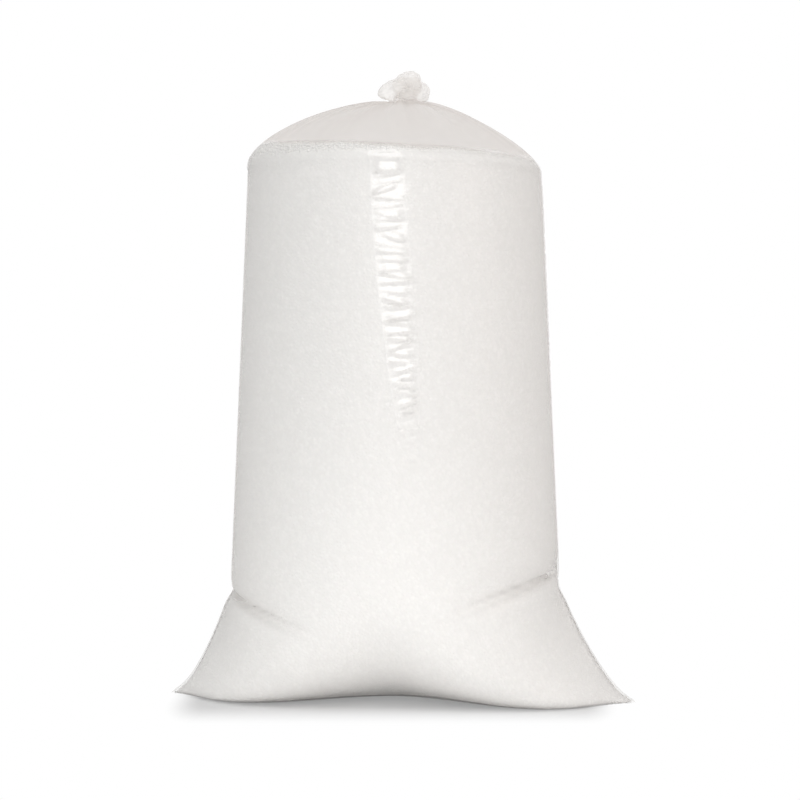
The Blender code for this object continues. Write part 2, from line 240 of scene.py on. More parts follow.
def dome_outline(w):
    """Half width and height of the outline from the shoulder (0) to the neck (1)."""
    neck = 2.0 * ROPE_RADIUS
    wide = bezier(SHOULDER_HALF_WIDTH, SHOULDER_HALF_WIDTH, neck + DOME_FLAT, neck, w)
    high = bezier(SHOULDER_HEIGHT, SHOULDER_HEIGHT + DOME_CORNER, DOME_HEIGHT, DOME_HEIGHT, w)
    return wide, high


def dome_surface(angle, w):
    """Points at an angle and a share w of the way from the shoulder to the neck."""
    wide, high = dome_outline(w)
    round_off = half_depth(SHOULDER_HALF_WIDTH) / SHOULDER_HALF_WIDTH
    deep = wide * (round_off + (1.0 - round_off) * w)
    turn = smooth_step(w)
    middle_x = BODY_SHIFT + (NECK.x * ROPE_RADIUS - BODY_SHIFT) * turn + DOME_LEAN * np.sin(math.pi * w)
    middle_y = NECK.y * ROPE_RADIUS * turn
    x = middle_x + wide * np.cos(angle)
    y = middle_y + deep * np.sin(angle)
    return np.stack([x, y, high + 0.0 * angle], axis=-1)


# %% [markdown]
# Relief on the film
#
# Creases, crinkles and pleats move each point along the surface's own direction outwards. That
# direction is the cross product of the grid's two directions, round the tube and up it.

# %% Outward directions
def outward(grid):
    """The outward direction at each point of a tube's grid."""
    up = np.gradient(grid, axis=0)
    around = np.roll(grid, -1, axis=1) - np.roll(grid, 1, axis=1)
    normal = np.cross(around, up)
    return normal / np.maximum(np.linalg.norm(normal, axis=-1, keepdims=True), 1e-12)


# %% [markdown]
# Folds and crinkles
#
# Several kinds of relief make this film look like film. Long soft folds part each corner from the
# body, because the flat weld and the round body pull against each other, and two narrow creases run
# along each fold, each with painted shade in its groove. A ladder of short level crinkles runs up the
# front, where the film is a little slack lengthwise, with a line of painted shade where two of them
# meet. Pleats fan out from the neck, and fine ripples stand along the weld. Each one is a formula of
# the angle and the height, with a fixed seed for what is random. Simulated cloth was the other way,
# but film that is stuffed this tight has few loose folds, and these stay where they are put.

# %% Folds at the corners
FOLD_DEPTH = 0.007
FOLD_HALF_WIDTH = 0.016
FOLD_BOW = 0.012
FOLD_START_FADE = 0.12
FOLD_END_FADE = 0.55
FOLDS = (
    # angle in degrees and height, where the fold starts and where it ends
    ((182, 0.176), (256, 0.112)),
    ((359, 0.214), (290, 0.150)),
    ((178, 0.178), (118, 0.120)),
    ((3, 0.186), (62, 0.112)),
)
CREASE_DEPTH = 0.0026
CREASE_HALF_WIDTH = 0.0048
CREASE_SHARPNESS = 1.5
CREASE_RIDGE = 0.5
CREASE_RIDGE_OUT = 2.0
CREASE_APART = 0.013
CREASE_APART_START = 0.35
CREASE_START, CREASE_START_FADE = 0.04, 0.15
CREASE_END, CREASE_END_FADE = 0.97, 0.50
CREASES = (
    # side of the fold's middle, share of the depth
    (0.4, 1.0),
    (-0.6, 0.5),
)


def from_middle(angle, middle):
    """The signed angle from a middle, between half a turn either way."""
    return (angle - middle + math.pi) % (2.0 * math.pi) - math.pi


def fold_lines(angle):
    """For each fold, the share of its length that an angle is along it, and its height there."""
    for (angle_a, height_a), (angle_b, height_b) in FOLDS:
        along = from_middle(angle, math.radians(angle_a)) / math.radians(angle_b - angle_a)
        yield along, height_a + (height_b - height_a) * along + FOLD_BOW * 4.0 * along * (1.0 - along)


def fold_push(angle, height):
    """How far the folds press the film in at an angle round the tube and a height."""
    push = np.zeros(np.broadcast(angle, height).shape)
    for along, middle in fold_lines(angle):
        fade_in = smooth_step((along + FOLD_START_FADE) / FOLD_START_FADE)
        fade = fade_in * smooth_step((1.0 - along) / FOLD_END_FADE)
        off = (height - middle) / FOLD_HALF_WIDTH
        push = np.maximum(push, FOLD_DEPTH * fade * np.exp(-off * off))
    return push


def crease_relief(angle, height, widen=1.0):
    """The two narrow creases that run along each fold, with a low ridge above each, as relief."""
    relief = np.zeros(np.broadcast(angle, height).shape)
    for along, middle in fold_lines(angle):
        fade = smooth_step((along - CREASE_START) / CREASE_START_FADE)
        fade = fade * smooth_step((CREASE_END - along) / CREASE_END_FADE)
        for side, share in CREASES:
            spread = side * CREASE_APART * (CREASE_APART_START + along)
            off = (height - middle - spread) / (CREASE_HALF_WIDTH * widen)
            ridge = CREASE_RIDGE * np.exp(-((off - CREASE_RIDGE_OUT) ** 2))
            groove = np.exp(-np.abs(off) ** CREASE_SHARPNESS)
            relief = relief + CREASE_DEPTH * share * fade * (ridge - groove)
    return relief


def folded(grid, angle):
    """The grid with its points moved in towards the tube's axis by the folds."""
    push = fold_push(angle, grid[..., 2])
    out = grid.copy()
    out[..., 0] -= push * np.cos(angle)
    out[..., 1] -= push * np.sin(angle)
    return out


# %% Crinkles
FRONT = math.radians(270)
SLACK_BANDS = (
    # turn from the front at the top and at the foot, lowest, highest, half width, strength
    (math.radians(6), math.radians(13), 0.36, 0.892, 0.115, 1.0),
    (math.radians(163), math.radians(170), 0.36, 0.87, 0.10, 0.8),
    (math.radians(-98), math.radians(-94), 0.50, 0.86, 0.07, 0.6),
    (math.radians(96), math.radians(90), 0.46, 0.85, 0.08, 0.6),
)
BAND_FOOT_WIDTH = 0.62
BAND_FULL_WIDTH_AT = 0.6
BAND_FOOT_FADE = 0.3
BAND_HEAD_FADE = 0.03
BAND_EDGE, BAND_EDGE_FADE = 1.25, 0.5
CRINKLE_SEED = 11
CRINKLE_PITCH = 0.0122
CRINKLE_PITCH_JITTER = 0.15
CRINKLE_SWAY = 0.14
CRINKLE_RISE = 0.0014
CRINKLE_RISES = (0.75, 1.25)
CRINKLE_FULL_RISE_AT, CRINKLE_FOOT_RISE = 0.35, 0.15
CRINKLE_WIDTHS = (0.7, 1.15)
CRINKLE_HALF_HEIGHT = 0.0088
CRINKLE_HEIGHTS = (0.85, 1.15)
CRINKLE_TILT = (0.001, 0.004)
SEAM_RISE = 0.0011
SEAM_LEAST = 0.0003
BIG_CRINKLES = (
    # height, turn from the front, half width, half height, rise
    (0.857, math.radians(6.5), 0.110, 0.0175, 0.0026),
    (0.783, math.radians(7.5), 0.085, 0.0120, 0.0020),
    (0.700, math.radians(8.0), 0.080, 0.0110, 0.0018),
)


def band_at(share, turn_top, turn_foot, half_width):
    """A slack band's middle and half width at a share of the way up it."""
    turn = turn_foot + (turn_top - turn_foot) * smooth_step(share)
    widened = (1.0 - BAND_FOOT_WIDTH) * smooth_step(share / BAND_FULL_WIDTH_AT)
    return FRONT + turn, half_width * (BAND_FOOT_WIDTH + widened)


def slack_film(angle, height):
    """Crinkle relief, slackness and the seams between crinkles at an angle and a height."""
    random = np.random.default_rng(CRINKLE_SEED)
    relief = np.zeros(np.broadcast(angle, height).shape)
    second = np.zeros(relief.shape)
    slack = np.zeros(relief.shape)
    for turn_top, turn_foot, low, high, half_width, strength in SLACK_BANDS:
        share = (height - low) / (high - low)
        middle, width = band_at(share, turn_top, turn_foot, half_width)
        off = np.abs(from_middle(angle, middle)) / width
        ends = smooth_step(share / BAND_FOOT_FADE) * smooth_step((1.0 - share) / BAND_HEAD_FADE)
        slack = np.maximum(slack, strength * ends * smooth_step((BAND_EDGE - off) / BAND_EDGE_FADE))
        for at in np.arange(low, high, CRINKLE_PITCH):
            share = (at - low) / (high - low)
            middle, width = band_at(share, turn_top, turn_foot, half_width)
            at = at + random.normal(0.0, CRINKLE_PITCH_JITTER * CRINKLE_PITCH)
            middle = middle + random.normal(0.0, CRINKLE_SWAY) * width
            rise = strength * CRINKLE_RISE * random.uniform(*CRINKLE_RISES)
            rise = rise * smooth_step(share / CRINKLE_FULL_RISE_AT + CRINKLE_FOOT_RISE)
            wide = width * random.uniform(*CRINKLE_WIDTHS)
            tall = CRINKLE_HALF_HEIGHT * random.uniform(*CRINKLE_HEIGHTS)
            tilt = random.normal(*CRINKLE_TILT) / wide
            side = from_middle(angle, middle)
            cap = 1.0 - (side / wide) ** 2 - ((height - at - tilt * side) / tall) ** 2
            cap = rise * np.maximum(cap, 0.0)
            second = np.maximum(second, np.minimum(relief, cap))
            relief = np.maximum(relief, cap)
    seam = smooth_step(1.0 - (relief - second) / SEAM_RISE) * smooth_step(second / SEAM_LEAST)
    for at, turn, wide, tall, rise in BIG_CRINKLES:
        side = from_middle(angle, FRONT + turn)
        cap = rise * np.maximum(1.0 - (side / wide) ** 2 - ((height - at) / tall) ** 2, 0.0)
        seam = seam * smooth_step(1.0 - (cap - relief) / SEAM_LEAST)
        relief = np.maximum(relief, cap)
    return relief, slack, seam


# %% Pleats of the dome
PLEAT_SEED = 4
PLEAT_DEPTH = 0.0011
PLEAT_COUNTS = (11, 17, 23, 31, 43)
PLEAT_SWERVE = 1.4
PLEATS_START = 0.45
PLEATS_END_FADE = 9.0
PLEAT_LEAST = 0.3
BROAD_PLEATS_FULL_AT = 0.9
BROAD_PLEATS = (
    # middle in degrees, half width in degrees, rise, share of the dome where it ends
    (286, 9, 0.0050, 0.25),
    (307, 10, 0.0058, 0.12),
    (205, 17, 0.0035, 0.30),
    (345, 12, 0.0035, 0.25),
    (240, 9, 0.0026, 0.35),
    (40, 22, 0.0045, 0.20),
    (110, 14, 0.0040, 0.25),
    (160, 10, 0.0030, 0.30),
)


def pleat_relief(angle, w):
    """How far the pleats that run out from the neck stand out, and where the broad ones are."""
    random = np.random.default_rng(PLEAT_SEED)
    relief = 0.0 * (angle + w)
    for count in PLEAT_COUNTS:
        start = random.uniform(0.0, 2.0 * math.pi)
        relief = relief + 0.5 * np.cos(count * angle + start + PLEAT_SWERVE * w)
    growth = PLEAT_LEAST + (1.0 - PLEAT_LEAST) * w
    relief = PLEAT_DEPTH * smooth_step(w / PLEATS_START) * relief * growth
    fan = np.zeros(relief.shape)
    for middle, half_width, rise, foot in BROAD_PLEATS:
        off = from_middle(angle, math.radians(middle)) / math.radians(half_width)
        pleat = smooth_step((w - foot) / (BROAD_PLEATS_FULL_AT - foot)) * np.exp(-np.abs(off) ** 3)
        relief = relief + rise * pleat
        fan = np.maximum(fan, pleat)
    return relief * smooth_step((1.0 - w) * PLEATS_END_FADE), fan


# %% Ripples along the weld
RIPPLE_LENGTH = 0.013
RIPPLE_DEPTH = 0.0012
RIPPLE_RUN = 0.10
RIPPLE_START, RIPPLE_START_FADE = 0.20, 0.09
RIPPLE_SWERVE, RIPPLE_SWERVES = 2.0, 41.0


def weld_ripples(x, v):
    """The short ripples that the flat weld leaves in the film of the two corners."""
    swerve = RIPPLE_SWERVE * np.sin(RIPPLE_SWERVES * x)
    wave = RIPPLE_DEPTH * np.cos(2.0 * math.pi * np.abs(x) / RIPPLE_LENGTH + swerve)
    fade = smooth_step((np.abs(x) - RIPPLE_START) / RIPPLE_START_FADE)
    return wave * fade * smooth_step(1.0 - v / RIPPLE_RUN)


# %% [markdown]
# One rule for the film and for the beads in it
#
# The film's fine surface and the face of the beads behind it must never cross, or beads would show
# outside the bag. So both come from one function, which gives the plain tube with its corner folds
# for any number of columns and rows.

# %% Tube grid
def tube_grid(angle, bottom_shares, body_shares, dome_shares):
    """The tube's plain surface from the weld up: rows of points round the tube."""
    walls = np.concatenate([bottom_surface(angle, bottom_shares), body_surface(angle, body_shares)])
    return np.concatenate([folded(walls, angle), dome_surface(angle, dome_shares)])


# %% Fill line
FILL_HEIGHT = SHOULDER_HEIGHT + 0.028
FILL_RISE = 0.003
FILL_SLOPE = 0.014
FILL_SLOPE_TURN = math.radians(340)
FILL_WAVES = (
    # how many round the bag, how high, where they start
    (7.0, 0.0015, 1.0),
    (17.0, 0.001, 0.0),
)


def fill_level(angle):
    """How high the beads lie against the film, higher on the left."""
    level = FILL_HEIGHT + FILL_RISE - FILL_SLOPE * np.cos(angle - FILL_SLOPE_TURN)
    for count, rise, start in FILL_WAVES:
        level = level + rise * np.sin(count * angle + start)
    return level


print("Beads reach up to, in metres:", round(float(fill_level(column_angles(90)).max()), 3))

# %% [markdown]
# The film
#
# The bag's whole surface is one grid of about 370 rows and 260 columns. Both are crowded where the
# crinkles are, up the front and the back, which keeps the mesh under 200,000 triangles.

# %% Film surface
COLUMNS = 264
COLUMN_CROWD = 0.25
BOTTOM_ROWS = 96
BODY_ROWS = 226
BODY_CROWD = 0.5
DOME_ROWS = 50
# Shares of painted shade: a darker grey laid into the seams between crinkles and into the fold creases.
SEAM_PAINTED_SHADE = 0.6
FOLD_PAINTED_SHADE = 0.7
FILL_FADE = 0.007
DOME_GATHER = 0.75
NECK_GATHER, NECK_GATHER_FULL_AT = 0.33, 0.9
FAN_CLEAR = 0.35


def film_grid():
    """The film's surface, how gathered and slack it is, and how much painted shade its creases get."""
    angle = column_angles(COLUMNS, COLUMN_CROWD)[None, :]
    v = row_shares(BOTTOM_ROWS)
    w = row_shares(DOME_ROWS)
    grid = tube_grid(angle, v, row_shares(BODY_ROWS, BODY_CROWD), w)
    height = grid[..., 2]
    relief, slack, seam = slack_film(angle, height)
    creases = crease_relief(angle, height)
    # Painted shade in the fold creases, deepest in their grooves.
    fold_painted_shade = FOLD_PAINTED_SHADE * np.clip(-creases / CREASE_DEPTH, 0.0, 1.0)
    gather = DOME_GATHER * smooth_step((height - fill_level(angle)) / FILL_FADE)
    pleats, fan = pleat_relief(angle, w)
    dome = slice(BOTTOM_ROWS + BODY_ROWS, None)
    relief[dome] += pleats
    gather[dome] *= 1.0 + NECK_GATHER * smooth_step(w / NECK_GATHER_FULL_AT) - FAN_CLEAR * fan
    relief[:BOTTOM_ROWS] += weld_ripples(grid[:BOTTOM_ROWS, :, 0], v)
    points = grid + outward(grid) * (relief + creases)[..., None]
    points[..., 2] = np.maximum(points[..., 2], 0.0)
    # Painted shade: the grey share of the seams between crinkles and of the fold creases, kept as the
    # attribute creased.
    creased = np.maximum(SEAM_PAINTED_SHADE * slack * seam, fold_painted_shade)
    return points, {"gather": gather, "slack": slack, "creased": creased}


film_points, film_looks = film_grid()
print("Film grid:", film_points.shape)

# %% [markdown]
# Turning a grid into the film
#
# The front and the back of the tube are one at the weld, so the two halves of the lowest row share
# their points. The upper end runs up into the knot and is closed there. One surface is enough: film
# of 0.07 mm has no wall that an eye could see, and a second surface would double every haze.

# %% Film piece
def tube_faces(ids):
    """Four-sided faces of a closed tube, three-sided where two neighbours are one point."""
    right = np.roll(ids, -1, axis=1)
    corners = np.stack([ids[:-1], right[:-1], right[1:], ids[1:]], axis=-1).reshape(-1, 4)
    faces = []
    for corner in corners.tolist():
        face = list(dict.fromkeys(corner))
        if len(face) > 2:
            faces.append(face)
    return faces


def new_piece(name, points, faces):
    """An object at the origin whose place is in its mesh, shaded smooth."""
    mesh = bpy.data.meshes.new(name)
    mesh.from_pydata(points, [], faces)
    mesh.shade_smooth()
    return new_object(name, mesh)


def closed_tube(name, points, top, flat_start=False):
    """A piece from a tube's grid of points, closed by one more point at its top."""
    rows, columns = points.shape[:2]
    pole = rows * columns
    ids = np.arange(pole).reshape(rows, columns)
    if flat_start:
        ids[0, columns // 2 + 1 :] = ids[0, 1 : columns // 2][::-1]
    faces = tube_faces(ids)
    faces += [[ids[-1, c], ids[-1, (c + 1) % columns], pole] for c in range(columns)]
    return new_piece(name, np.vstack([points.reshape(-1, 3), top]), faces)


def triangle_count(piece):
    """How many triangles a piece has."""
    return sum(len(face.vertices) - 2 for face in piece.data.polygons)


def film_piece(points, looks):
    """The bag's skin, with its looks as attributes for the material."""
    top = points[-1].mean(axis=0) + [0.0, 0.0, ROPE_RADIUS]
    piece = closed_tube("film_bag_skin", points, top, flat_start=True)
    for name, values in looks.items():
        spread = piece.data.attributes.new(name, "FLOAT", "POINT")
        spread.data.foreach_set("value", np.append(values.ravel(), values[-1, 0]).astype(np.float32))
    return piece


film_skin = film_piece(film_points, film_looks)
print("Film triangles:", triangle_count(film_skin))

# %% [markdown]
# One helper for nodes
#
# Every material and every Geometry Nodes tree below is built with the same small function. It adds
# a node, sets its properties, and gives its sockets a value or a link. Where it is handed a whole
# node, it links that node's first output, which is the one that most nodes are used for.

# %% Node helper
def feed(tree, node, sockets):
    """Give a node's sockets values or links."""
    for key, value in sockets.items():
        if isinstance(value, bpy.types.Node):
            value = value.outputs[0]
        if isinstance(value, bpy.types.NodeSocket):
            tree.links.new(value, node.inputs[key])
        else:
            node.inputs[key].default_value = value


def add_node(tree, kind, sockets=None, **settings):
    """Add a node to a tree, with its settings, and with values or links for its sockets."""
    made = tree.nodes.new(kind)
    for name, value in settings.items():
        setattr(made, name, value)
    feed(tree, made, sockets or {})
    return made


def new_material(name):
    """A new material and its node tree."""
    made = bpy.data.materials.new(name)
    made.use_nodes = True
    return made, made.node_tree


def linear(hex_colour):
    """An sRGB hex value as a linear colour."""
    channels = [int(hex_colour[i : i + 2], 16) / 255.0 for i in (0, 2, 4)]
    return [c / 12.92 if c <= 0.04045 else ((c + 0.055) / 1.055) ** 2.4 for c in channels] + [1.0]


print("Bead white in linear light:", [round(c, 3) for c in linear("F4F3F1")[:3]])

# %% [markdown]
# Expanded polystyrene
#
# The beads are polystyrene foam, blown up with steam inside a closed skin. That gives the eye a
# matte, slightly warm white with no clear highlight. No two beads are quite the same white, and
# their skin is finely pebbled by the foam's cells. The cells are about 0.1 mm, too fine to show
# here, so the bump is drawn eight times as coarse.

# %% Bead material
CELL_SIZE = 0.0008
CELL_DEPTH = 0.0002
CELL_STRENGTH = 0.25
BEAD_WHITES = ("F4F3F1", "F8F7F5")


def expanded_polystyrene_material():
    """Matte white foam beads."""
    made, tree = new_material("expanded_polystyrene_beads")
    tone = add_node(tree, "ShaderNodeAttribute", attribute_name="tone").outputs["Fac"]
    whites = {0: tone, 6: linear(BEAD_WHITES[0]), 7: linear(BEAD_WHITES[1])}
    white = add_node(tree, "ShaderNodeMix", whites, data_type="RGBA")
    place = add_node(tree, "ShaderNodeTexCoord").outputs["Object"]
    cells = add_node(tree, "ShaderNodeTexVoronoi", {"Vector": place, "Scale": 1.0 / CELL_SIZE})
    pebble = add_node(
        tree, "ShaderNodeBump", {"Height": cells, "Strength": CELL_STRENGTH, "Distance": CELL_DEPTH}
    )
    looks = {"Base Color": white.outputs[2], "Roughness": 0.85, "IOR": 1.3, "Normal": pebble}
    feed(tree, tree.nodes["Principled BSDF"], looks)
    return made


bead_material = expanded_polystyrene_material()
print("Material:", bead_material.name)

# %% [markdown]
# Blown polythene film
#
# The bag is low-density polythene, melted and blown up as a bubble, which leaves it clear but
# faintly hazy. Over the beads the haze is hardly seen. Where the film is slack and gathered, many
# thicknesses lie behind each other, and it turns a soft grey. It is glossy, and a little crinkled
# where it is slack. Tight film takes the print of the beads under it, which spreads its gloss. The
# shader mixes a clear part with a milky part, and lays a thin gloss on top.

# %% Film material
MILK = "E8E2DE"
# The next colour is the darker grey that paints shade into the seams and creases.
CREASE_PAINTED_SHADE_GREY = "C2BFBC"
FLAT_HAZE = 0.035
GATHERED_HAZE = 0.46
CREASE_HAZE = 0.42
EDGE_HAZE, EDGE_POWER = 0.22, 3.0
BEAD_PITCH = 0.0053
PRINT_DEPTH = 0.0004
PRINT_STRENGTH = 0.3
FINE_CRINKLE = (0.035, 0.0035)
FINE_CRINKLE_DEPTH = 0.00005
FILM_IOR = 1.51
LEVEL_MIRROR = 0.04
TIGHT_MIRROR, TIGHT_ROUGHNESS = 0.05, 0.42
SLACK_MIRROR, SLACK_ROUGHNESS = 0.11, 0.18
MOST_MIRROR = 0.22


def blown_film_material(name, flat_haze, gathered_haze, milk):
    """Clear polythene film with more haze where it is gathered or seen edge on, and painted shade in its
    creases.
    """
    made, tree = new_material(name)
    tree.nodes.remove(tree.nodes["Principled BSDF"])
    place = add_node(tree, "ShaderNodeTexCoord").outputs["Object"]
    slack, creased, gather = (
        add_node(tree, "ShaderNodeAttribute", attribute_name=look).outputs["Fac"]
        for look in ("slack", "creased", "gather")
    )
    tight = add_node(
        tree, "ShaderNodeMath", {0: PRINT_STRENGTH, 1: slack}, operation="SUBTRACT", use_clamp=True
    )
    bead_print = add_node(tree, "ShaderNodeTexVoronoi", {"Vector": place, "Scale": 1.0 / BEAD_PITCH})
    printed = add_node(
        tree,
        "ShaderNodeBump",
        {"Height": bead_print, "Strength": tight, "Distance": PRINT_DEPTH},
        invert=True,
    )
    across, up = (1.0 / size for size in FINE_CRINKLE)
    stretched = add_node(tree, "ShaderNodeMapping", {"Vector": place, "Scale": (across, across, up)})
    crinkle = add_node(tree, "ShaderNodeTexNoise", {"Vector": stretched, "Scale": 1.0, "Detail": 2.0})
    crinkled = add_node(
        tree,
        "ShaderNodeBump",
        {"Height": crinkle, "Strength": slack, "Distance": FINE_CRINKLE_DEPTH, "Normal": printed},
    )
    # Painted shade: in the seams and creases the milky part turns towards a darker grey, on top of the
    # extra haze that doubled film gives.
    milk_and_shade_tints = {0: creased, 6: linear(milk), 7: linear(CREASE_PAINTED_SHADE_GREY)}
    milk_and_painted_shade = add_node(tree, "ShaderNodeMix", milk_and_shade_tints, data_type="RGBA").outputs[2]
    milky = add_node(tree, "ShaderNodeBsdfDiffuse", {"Color": milk_and_painted_shade, "Roughness": 0.5})
    through = add_node(tree, "ShaderNodeBsdfTranslucent", {"Color": milk_and_painted_shade})
    milky_both = add_node(tree, "ShaderNodeMixShader", {"Fac": 0.5, 1: milky, 2: through})
    clear = add_node(tree, "ShaderNodeBsdfTransparent")
    haze = add_node(
        tree, "ShaderNodeMapRange", {"Value": gather, "To Min": flat_haze, "To Max": gathered_haze}
    )
    crease_haze = add_node(
        tree, "ShaderNodeMath", {0: creased, 1: CREASE_HAZE, 2: haze}, operation="MULTIPLY_ADD"
    )
    edge = add_node(tree, "ShaderNodeLayerWeight", {"Blend": 0.5}).outputs["Facing"]
    edge_curve = add_node(tree, "ShaderNodeMath", {0: edge, 1: EDGE_POWER}, operation="POWER")
    more_haze = add_node(
        tree,
        "ShaderNodeMath",
        {0: edge_curve, 1: EDGE_HAZE, 2: crease_haze},
        operation="MULTIPLY_ADD",
        use_clamp=True,
    )
    film = add_node(tree, "ShaderNodeMixShader", {"Fac": more_haze, 1: clear, 2: milky_both})
    roughness = add_node(
        tree, "ShaderNodeMapRange", {"Value": slack, "To Min": TIGHT_ROUGHNESS, "To Max": SLACK_ROUGHNESS}
    )
    gloss = add_node(
        tree,
        "ShaderNodeBsdfGlossy",
        {"Color": linear("FFFFFF"), "Roughness": roughness, "Normal": crinkled},
    )
    mirror = add_node(tree, "ShaderNodeFresnel", {"IOR": FILM_IOR, "Normal": crinkled})
    least_mirror = add_node(
        tree, "ShaderNodeMapRange", {"Value": slack, "To Min": TIGHT_MIRROR, "To Max": SLACK_MIRROR}
    )
    mirror_share = add_node(
        tree,
        "ShaderNodeMapRange",
        {"Value": mirror, "From Min": LEVEL_MIRROR, "To Min": least_mirror, "To Max": MOST_MIRROR},
    )
    whole = add_node(tree, "ShaderNodeMixShader", {"Fac": mirror_share, 1: film, 2: gloss})
    feed(tree, tree.nodes["Material Output"], {"Surface": whole})
    return made


film_material = blown_film_material("blown_ldpe_film", FLAT_HAZE, GATHERED_HAZE, MILK)
film_skin.data.materials.append(film_material)
print("Material:", film_material.name)

# %% [markdown]
# The mass of beads
#
# Behind the film, the beads press into one body. Its face is the film's own surface set in by less
# than half a bead. In the two thin corners it stops a little short of the tips, because a bead
# can't go where the film is closer together than the bead is thick. The open top is a low heap,
# higher on the left, with the low humps that loose beads settle in. Under the film's creases the
# face dips deeper and wider than they do, so that no bead comes through. This body only fills the
# gaps behind the beads that are scattered over it next.

# %% Bead mass
MASS_INSET = 0.0016
MASS_CREASE = 1.2
MASS_WIDEN = 1.7
MASS_COLUMNS = 176
MASS_BOTTOM_ROWS = 64
MASS_BODY_ROWS = 40
MASS_DOME_ROWS = 4
HEAP_ROWS = 16
CORNER_GAP, CORNER_GAP_FADE = 0.008, 4
BEAD_HEAP = 0.014
HEAP_HUMP = 0.0022
HEAP_HUMP_SPACING = 0.044
HEAP_HUMP_SWERVE, HEAP_HUMP_SWERVES = 0.9, 0.4
OUTLINE_STEPS = 400


def heap_hump(x, y):
    """How high the humps of loose beads stand at a place on the heap."""
    wave = 2.0 * math.pi / (math.sqrt(2.0) * HEAP_HUMP_SPACING)
    swerve = HEAP_HUMP_SWERVE * np.sin(HEAP_HUMP_SWERVES * wave * (x - y))
    return 0.5 * HEAP_HUMP * (1.0 + np.cos(wave * x + swerve) * np.cos(wave * y - swerve))


def fill_shares(angle):
    """The share of the dome's outline up to which the beads lie against the film."""
    shares = np.linspace(0.0, 1.0, OUTLINE_STEPS)
    return np.interp(fill_level(angle), dome_outline(shares)[1], shares)


def bead_mass_grid():
    """The film's surface set in, closed by the heap's rows."""
    angle = column_angles(MASS_COLUMNS)[None, :]
    steps = (np.arange(1, MASS_DOME_ROWS + 1) / MASS_DOME_ROWS)[:, None]
    v = row_shares(MASS_BOTTOM_ROWS)
    grid = tube_grid(angle, v, row_shares(MASS_BODY_ROWS), steps * fill_shares(angle))
    relief = MASS_CREASE * np.minimum(crease_relief(angle, grid[..., 2], MASS_WIDEN), 0.0)
    inner = grid - outward(grid) * (MASS_INSET - relief)[..., None]
    side = np.sign(np.round(np.sin(angle), 9))
    inner[..., 1] = side * np.maximum(side * inner[..., 1], 0.0)
    inner[0, :, 1] = 0.0
    gap = np.zeros(len(grid))
    gap[:MASS_BOTTOM_ROWS] = CORNER_GAP * (1.0 - v[:, 0]) ** CORNER_GAP_FADE
    right = inner[:, 0, 0] - gap
    left = inner[:, MASS_COLUMNS // 2, 0] + gap
    inner[..., 0] = np.clip(inner[..., 0], left[:, None], right[:, None])
    rim = inner[-1]
    middle = np.array([BODY_SHIFT, 0.0, rim[:, 2].mean()])
    heap = []
    for i in range(1, HEAP_ROWS):
        share = 1.0 - i / HEAP_ROWS
        ring = middle + (rim - middle) * share
        ring[:, 2] += (BEAD_HEAP + heap_hump(ring[:, 0], ring[:, 1])) * (1.0 - share * share)
        heap.append(ring)
    top = middle + [0.0, 0.0, BEAD_HEAP + heap_hump(middle[0], middle[1])]
    return np.concatenate([inner, heap]), top


def bead_mass_piece():
    """The mass of beads as one closed piece."""
    points, top = bead_mass_grid()
    piece = closed_tube("bead_fill_mass", points, top)
    bm = bmesh.new()
    bm.from_mesh(piece.data)
    bmesh.ops.remove_doubles(bm, verts=bm.verts, dist=1e-5)
    bm.to_mesh(piece.data)
    bm.free()
    return piece


bead_mass = bead_mass_piece()
bead_mass.data.materials.append(bead_material)
print("Bead mass triangles:", triangle_count(bead_mass))


# %% [markdown]
# From a tree to a plain mesh
#
# A Geometry Nodes tree takes a mesh or a curve and makes a piece of it. The model's other users
# read plain meshes, so each result is copied out and its modifier is left behind. Both trees below
# start with named inputs and end with real geometry that carries its material.

# %% Plain meshes and tree ends
def made_plain(piece):
    """Turn a piece with modifiers into a plain mesh piece of the same name."""
    name = piece.name
    ready = piece.evaluated_get(bpy.context.evaluated_depsgraph_get())
    plain = bpy.data.meshes.new_from_object(ready)
    bpy.data.objects.remove(piece)
    plain.name = name
    return new_object(name, plain)


def with_tree(name, source, tree, values):
    """A new piece from a mesh or curve and a Geometry Nodes tree, made plain."""
    piece = new_object(name, source)
    modifier = piece.modifiers.new(tree.name, "NODES")
    modifier.node_group = tree
    inputs = [item for item in tree.interface.items_tree if item.in_out == "INPUT"]
    sockets = {item.name: item.identifier for item in inputs}
    for key, value in values.items():
        modifier[sockets[key]] = value
    return made_plain(piece)


def new_tree(name, inputs, output):
    """A Geometry Nodes tree with named inputs and one output, and the sockets that it is given."""
    tree = bpy.data.node_groups.new(name, "GeometryNodeTree")
    for kind, sockets in inputs:
        for socket in sockets:
            tree.interface.new_socket(socket, in_out="INPUT", socket_type="NodeSocket" + kind)
    tree.interface.new_socket(output, in_out="OUTPUT", socket_type="NodeSocketGeometry")
    return tree, add_node(tree, "NodeGroupInput").outputs


def end_tree(tree, geometry, material):
    """End a tree with real geometry and its material."""
    real = add_node(tree, "GeometryNodeRealizeInstances", {"Geometry": geometry})
    dressed = add_node(tree, "GeometryNodeSetMaterial", {"Geometry": real, "Material": material})
    add_node(tree, "NodeGroupOutput", {0: dressed})


# %% [markdown]
# The beads
#
# A bead is 3 to 6 mm across, and some fifty thousand of them lie against the film. Geometry Nodes
# scatter them over the mass: points no nearer to each other than a bead is wide, one small ball on
# each, turned and sized at random. Against the film they are pressed into one level skin, so there
# a flattened ball of twelve triangles is enough. It is shaded flat, because smooth shading would
# turn its thin rim dark. On the open top, which shows through the clear film, the beads are
# rounder, tilted and smooth. One tree makes both, and takes its sizes as named inputs.

# %% Bead scatter tree
DENSITY = 160000.0


